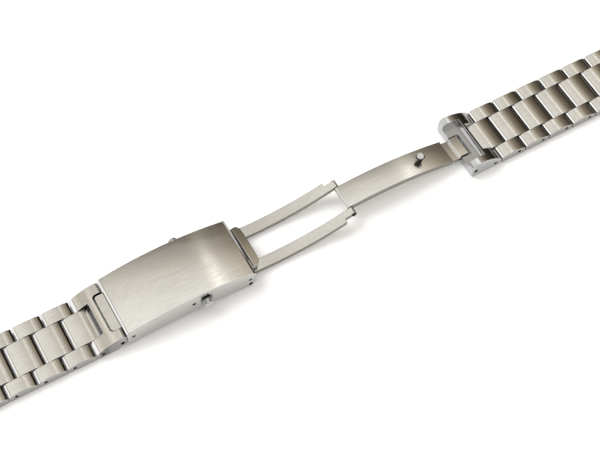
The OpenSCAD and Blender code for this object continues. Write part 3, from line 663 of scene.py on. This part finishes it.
class BRACELET_OT_end_pieces(bpy.types.Operator):
    """Finishes the end fork, the connector and the two end links"""
    bl_idname = "bracelet.end_pieces"
    bl_label = "End pieces"

    def execute(self, context):
        for node in ("left_end_link", "right_end_link"):
            paint(node, "Brushed_steel")
        paint("end_fork", "Fork_steel")
        paint("connector", "Mirror_steel")
        return {"FINISHED"}


class BRACELET_OT_cover(bpy.types.Operator):
    """Finishes the clasp cover, the tongue on its left and the bar on its right"""
    bl_idname = "bracelet.cover"
    bl_label = "Clasp cover"

    def execute(self, context):
        paint("clasp_cover", "Cover_steel")
        paint("cover_tongue", "Brushed_steel")
        paint("end_bar", "Bar_steel")
        return {"FINISHED"}


class BRACELET_OT_fold(bpy.types.Operator):
    """Finishes the folding arms, the blade and the catch stud"""
    bl_idname = "bracelet.fold"
    bl_label = "Folding arms and blade"

    def execute(self, context):
        paint("folding_arms", "Arm_steel")
        paint("blade", "Blade_steel")
        paint("catch_stud", "Stud_steel")
        return {"FINISHED"}


class BRACELET_OT_catch(bpy.types.Operator):
    """Finishes the push buttons and the housing under the cover"""
    bl_idname = "bracelet.catch"
    bl_label = "Push-button catch"

    def execute(self, context):
        for node in ("button_near", "button_far"):
            paint(node, "Button_steel")
        paint("catch_housing", "Pressed_steel")
        return {"FINISHED"}


class BRACELET_OT_springs(bpy.types.Operator):
    """Winds the catch's two coil springs"""
    bl_idname = "bracelet.springs"
    bl_label = "Catch springs"

    def execute(self, context):
        for joint in frame["record"]["behaviour"]["joints"]:
            for part in joint.get("deforming_nodes", ()):
                name = part["node"].replace("spring", "Coil")
                wind_spring(name, part["node"], joint)
        return {"FINISHED"}


class BRACELET_OT_pins(bpy.types.Operator):
    """Finishes every pin that shows in the sides of the band"""
    bl_idname = "bracelet.pins"
    bl_label = "Pins"

    def execute(self, context):
        for node in NODES:
            # painted shade: every pin's end is nearly black, as the shade in its bore
            if "pin" in node:
                paint(node, "Pin_steel")
        return {"FINISHED"}


# Stage

# Half the width of the square floor, and how far it lies below the bracelet: a hair, so that the
# flat underside is not in the floor's plane
FLOOR_HALF = 3
FLOOR_DROP = 0.02 * MM

# The tent's colours from the near side to the far one, which turns to the right by a share, and
# those of its opening, from left to right. Each is a place from -1 to 1 and an sRGB hex.
TENT_TURN = 0.35
TENT_AWAY = (
    (-1.0, "#A8A5A0"), (-0.5, "#D6D4D0"), (-0.1, "#FFFFFF"), (0.20, "#FDFCFA"),
    (0.36, "#F4F2EE"), (0.48, "#ECE9E3"), (0.58, "#D2CDC4"), (0.68, "#8F887D"),
    (0.80, "#4D473E"), (1.0, "#3A352E"))
TENT_OPENING = (
    (-1.0, "#FFFFFF"), (0.41, "#FFFFFF"), (0.50, "#F6F1EA"), (0.56, "#EAE3D8"),
    (0.64, "#CFC5B8"), (0.72, "#B1A79A"), (0.83, "#7F776E"), (1.0, "#37332E"))
# Strength of the cloth, its left side's share of that, and where the left side fades out
CLOTH_STRENGTH = 1.25
LEFT_SHARE = 0.85
LEFT_FADE = (-0.9, -0.3)
# Place, half width and strength of the strip light beside the opening
STRIP_PLACE = 0.385
STRIP_FADE = (0.015, 0.05)
STRIP_STRENGTH = 0.95

# Where the key light comes from, and how wide it is in degrees
KEY_FROM = (-0.35, 0.45, 0.82)
KEY_WIDTH = 35

# The photograph's place and way of looking, from the band's known width
CAMERA_PLACE = Vector((-94.823, -160.883, 319.787)) * MM
CAMERA_AHEAD = (0.25307, 0.43679, -0.86323)
CAMERA_RIGHT = (0.87204, -0.48937, 0.00804)


def lay_floor(scene, s):
    bm = bmesh.new()
    bmesh.ops.create_grid(bm, x_segments=1, y_segments=1, size=FLOOR_HALF)
    mesh = bpy.data.meshes.new("Floor")
    bm.to_mesh(mesh)
    bm.free()
    floor = bpy.data.objects.new("Floor", mesh)
    floor.location.z = -FLOOR_DROP
    scene.collection.objects.link(floor)
    material, tree = new_material("Floor_paper")
    shader = add(tree, "BsdfPrincipled", {
        "Base Color": tuple(s.floor), "Roughness": 0.9, "Specular IOR Level": 0.1,
        "Emission Color": tuple(s.floor), "Emission Strength": s.glow})
    add(tree, "OutputMaterial", shader)
    mesh.materials.append(material)


def tent_colour(tree, direction, stops):
    """The tent's colour along a direction that runs from -1 to 1."""
    made = add(tree, "ValToRGB", add(tree, "MapRange", direction, -1.0, 1.0, 0.0, 1.0))
    elements = made.color_ramp.elements
    while len(elements) < len(stops):
        elements.new(0.5)
    for element, (at, code) in zip(elements, stops):
        element.position = (at + 1) / 2
        element.color = linear(code)
    return made


def hang_tent(scene):
    """A tent of white cloth, open towards the far right, with a strip light beside the opening."""
    world = bpy.data.worlds.new("Studio")
    world.use_nodes = True
    tree = world.node_tree
    tree.nodes.clear()
    parts = add(tree, "SeparateXYZ", add(tree, "TexCoord").outputs["Generated"])
    x, y = parts.outputs["X"], parts.outputs["Y"]
    away = add(tree, "Math", x, TENT_TURN, y, operation="MULTIPLY_ADD")
    tent = add(tree, "Mix", 1.0, tent_colour(tree, away, TENT_AWAY),
               tent_colour(tree, x, TENT_OPENING), data_type="RGBA", blend_type="MULTIPLY")
    beside = add(tree, "Math", x, STRIP_PLACE, operation="SUBTRACT")
    beside = add(tree, "Math", beside, operation="ABSOLUTE")
    strip = add(tree, "MapRange", beside, *STRIP_FADE, STRIP_STRENGTH, 0.0)
    cloth = add(tree, "Math", strip, CLOTH_STRENGTH, operation="ADD")
    left_side = add(tree, "MapRange", x, *LEFT_FADE, LEFT_SHARE, 1.0)
    strength = add(tree, "Math", left_side, cloth, operation="MULTIPLY")
    add(tree, "OutputWorld", add(tree, "Background", tent, strength))
    scene.world = world
    scene.view_settings.view_transform = "Standard"


def hang_key_light(scene, s):
    light = bpy.data.lights.new("Key", "SUN")
    light.energy = s.key
    light.angle = math.radians(KEY_WIDTH)
    key = bpy.data.objects.new("Key", light)
    key.rotation_mode = "QUATERNION"
    key.rotation_quaternion = Vector(KEY_FROM).to_track_quat("Z", "Y")
    key.visible_glossy = False
    scene.collection.objects.link(key)


def place_camera(scene, s):
    data = bpy.data.cameras.new("Camera")
    data.lens = s.lens
    data.sensor_width = 36
    data.clip_start, data.clip_end = 0.01, 20
    camera = bpy.data.objects.new("Camera", data)
    ahead = Vector(CAMERA_AHEAD).normalized()
    right = Vector(CAMERA_RIGHT)
    right = (right - ahead * right.dot(ahead)).normalized()
    up = right.cross(ahead)
    turn = Matrix((right, up, -ahead)).transposed().to_4x4()
    camera.matrix_world = Matrix.Translation(CAMERA_PLACE) @ turn
    scene.collection.objects.link(camera)
    scene.camera = camera


class BRACELET_OT_stage(bpy.types.Operator):
    """Adds the pale floor, the soft studio light and the camera"""
    bl_idname = "bracelet.stage"
    bl_label = "Stage"

    def execute(self, context):
        s = context.scene.stage_settings
        lay_floor(context.scene, s)
        hang_tent(context.scene)
        hang_key_light(context.scene, s)
        place_camera(context.scene, s)
        return {"FINISHED"}


OPERATORS = (BRACELET_OT_links, BRACELET_OT_end_pieces, BRACELET_OT_cover, BRACELET_OT_fold,
             BRACELET_OT_catch, BRACELET_OT_springs, BRACELET_OT_pins, BRACELET_OT_stage)


class BRACELET_PT_panel(bpy.types.Panel):
    """Lists the pieces of the bracelet"""
    bl_idname = "BRACELET_PT_panel"
    bl_label = "Watch bracelet"
    bl_space_type = "VIEW_3D"
    bl_region_type = "UI"
    bl_category = "Bracelet"

    def draw(self, context):
        for group in (context.scene.steel_settings, context.scene.stage_settings):
            for key in group.__annotations__:
                self.layout.prop(group, key)
        for operator in OPERATORS:
            self.layout.operator(operator.bl_idname)


CLASSES = (SteelSettings, StageSettings) + OPERATORS + (BRACELET_PT_panel,)


def register():
    for cls in CLASSES:
        bpy.utils.register_class(cls)
    bpy.types.Scene.steel_settings = PointerProperty(type=SteelSettings)
    bpy.types.Scene.stage_settings = PointerProperty(type=StageSettings)


def unregister():
    del bpy.types.Scene.stage_settings
    del bpy.types.Scene.steel_settings
    for cls in reversed(CLASSES):
        bpy.utils.unregister_class(cls)


def main():
    register()
    bpy.ops.bracelet.links()
    bpy.ops.bracelet.end_pieces()
    bpy.ops.bracelet.cover()
    bpy.ops.bracelet.fold()
    bpy.ops.bracelet.catch()
    bpy.ops.bracelet.springs()
    bpy.ops.bracelet.pins()
    bpy.ops.bracelet.stage()


if __name__ == "__main__":
    main()
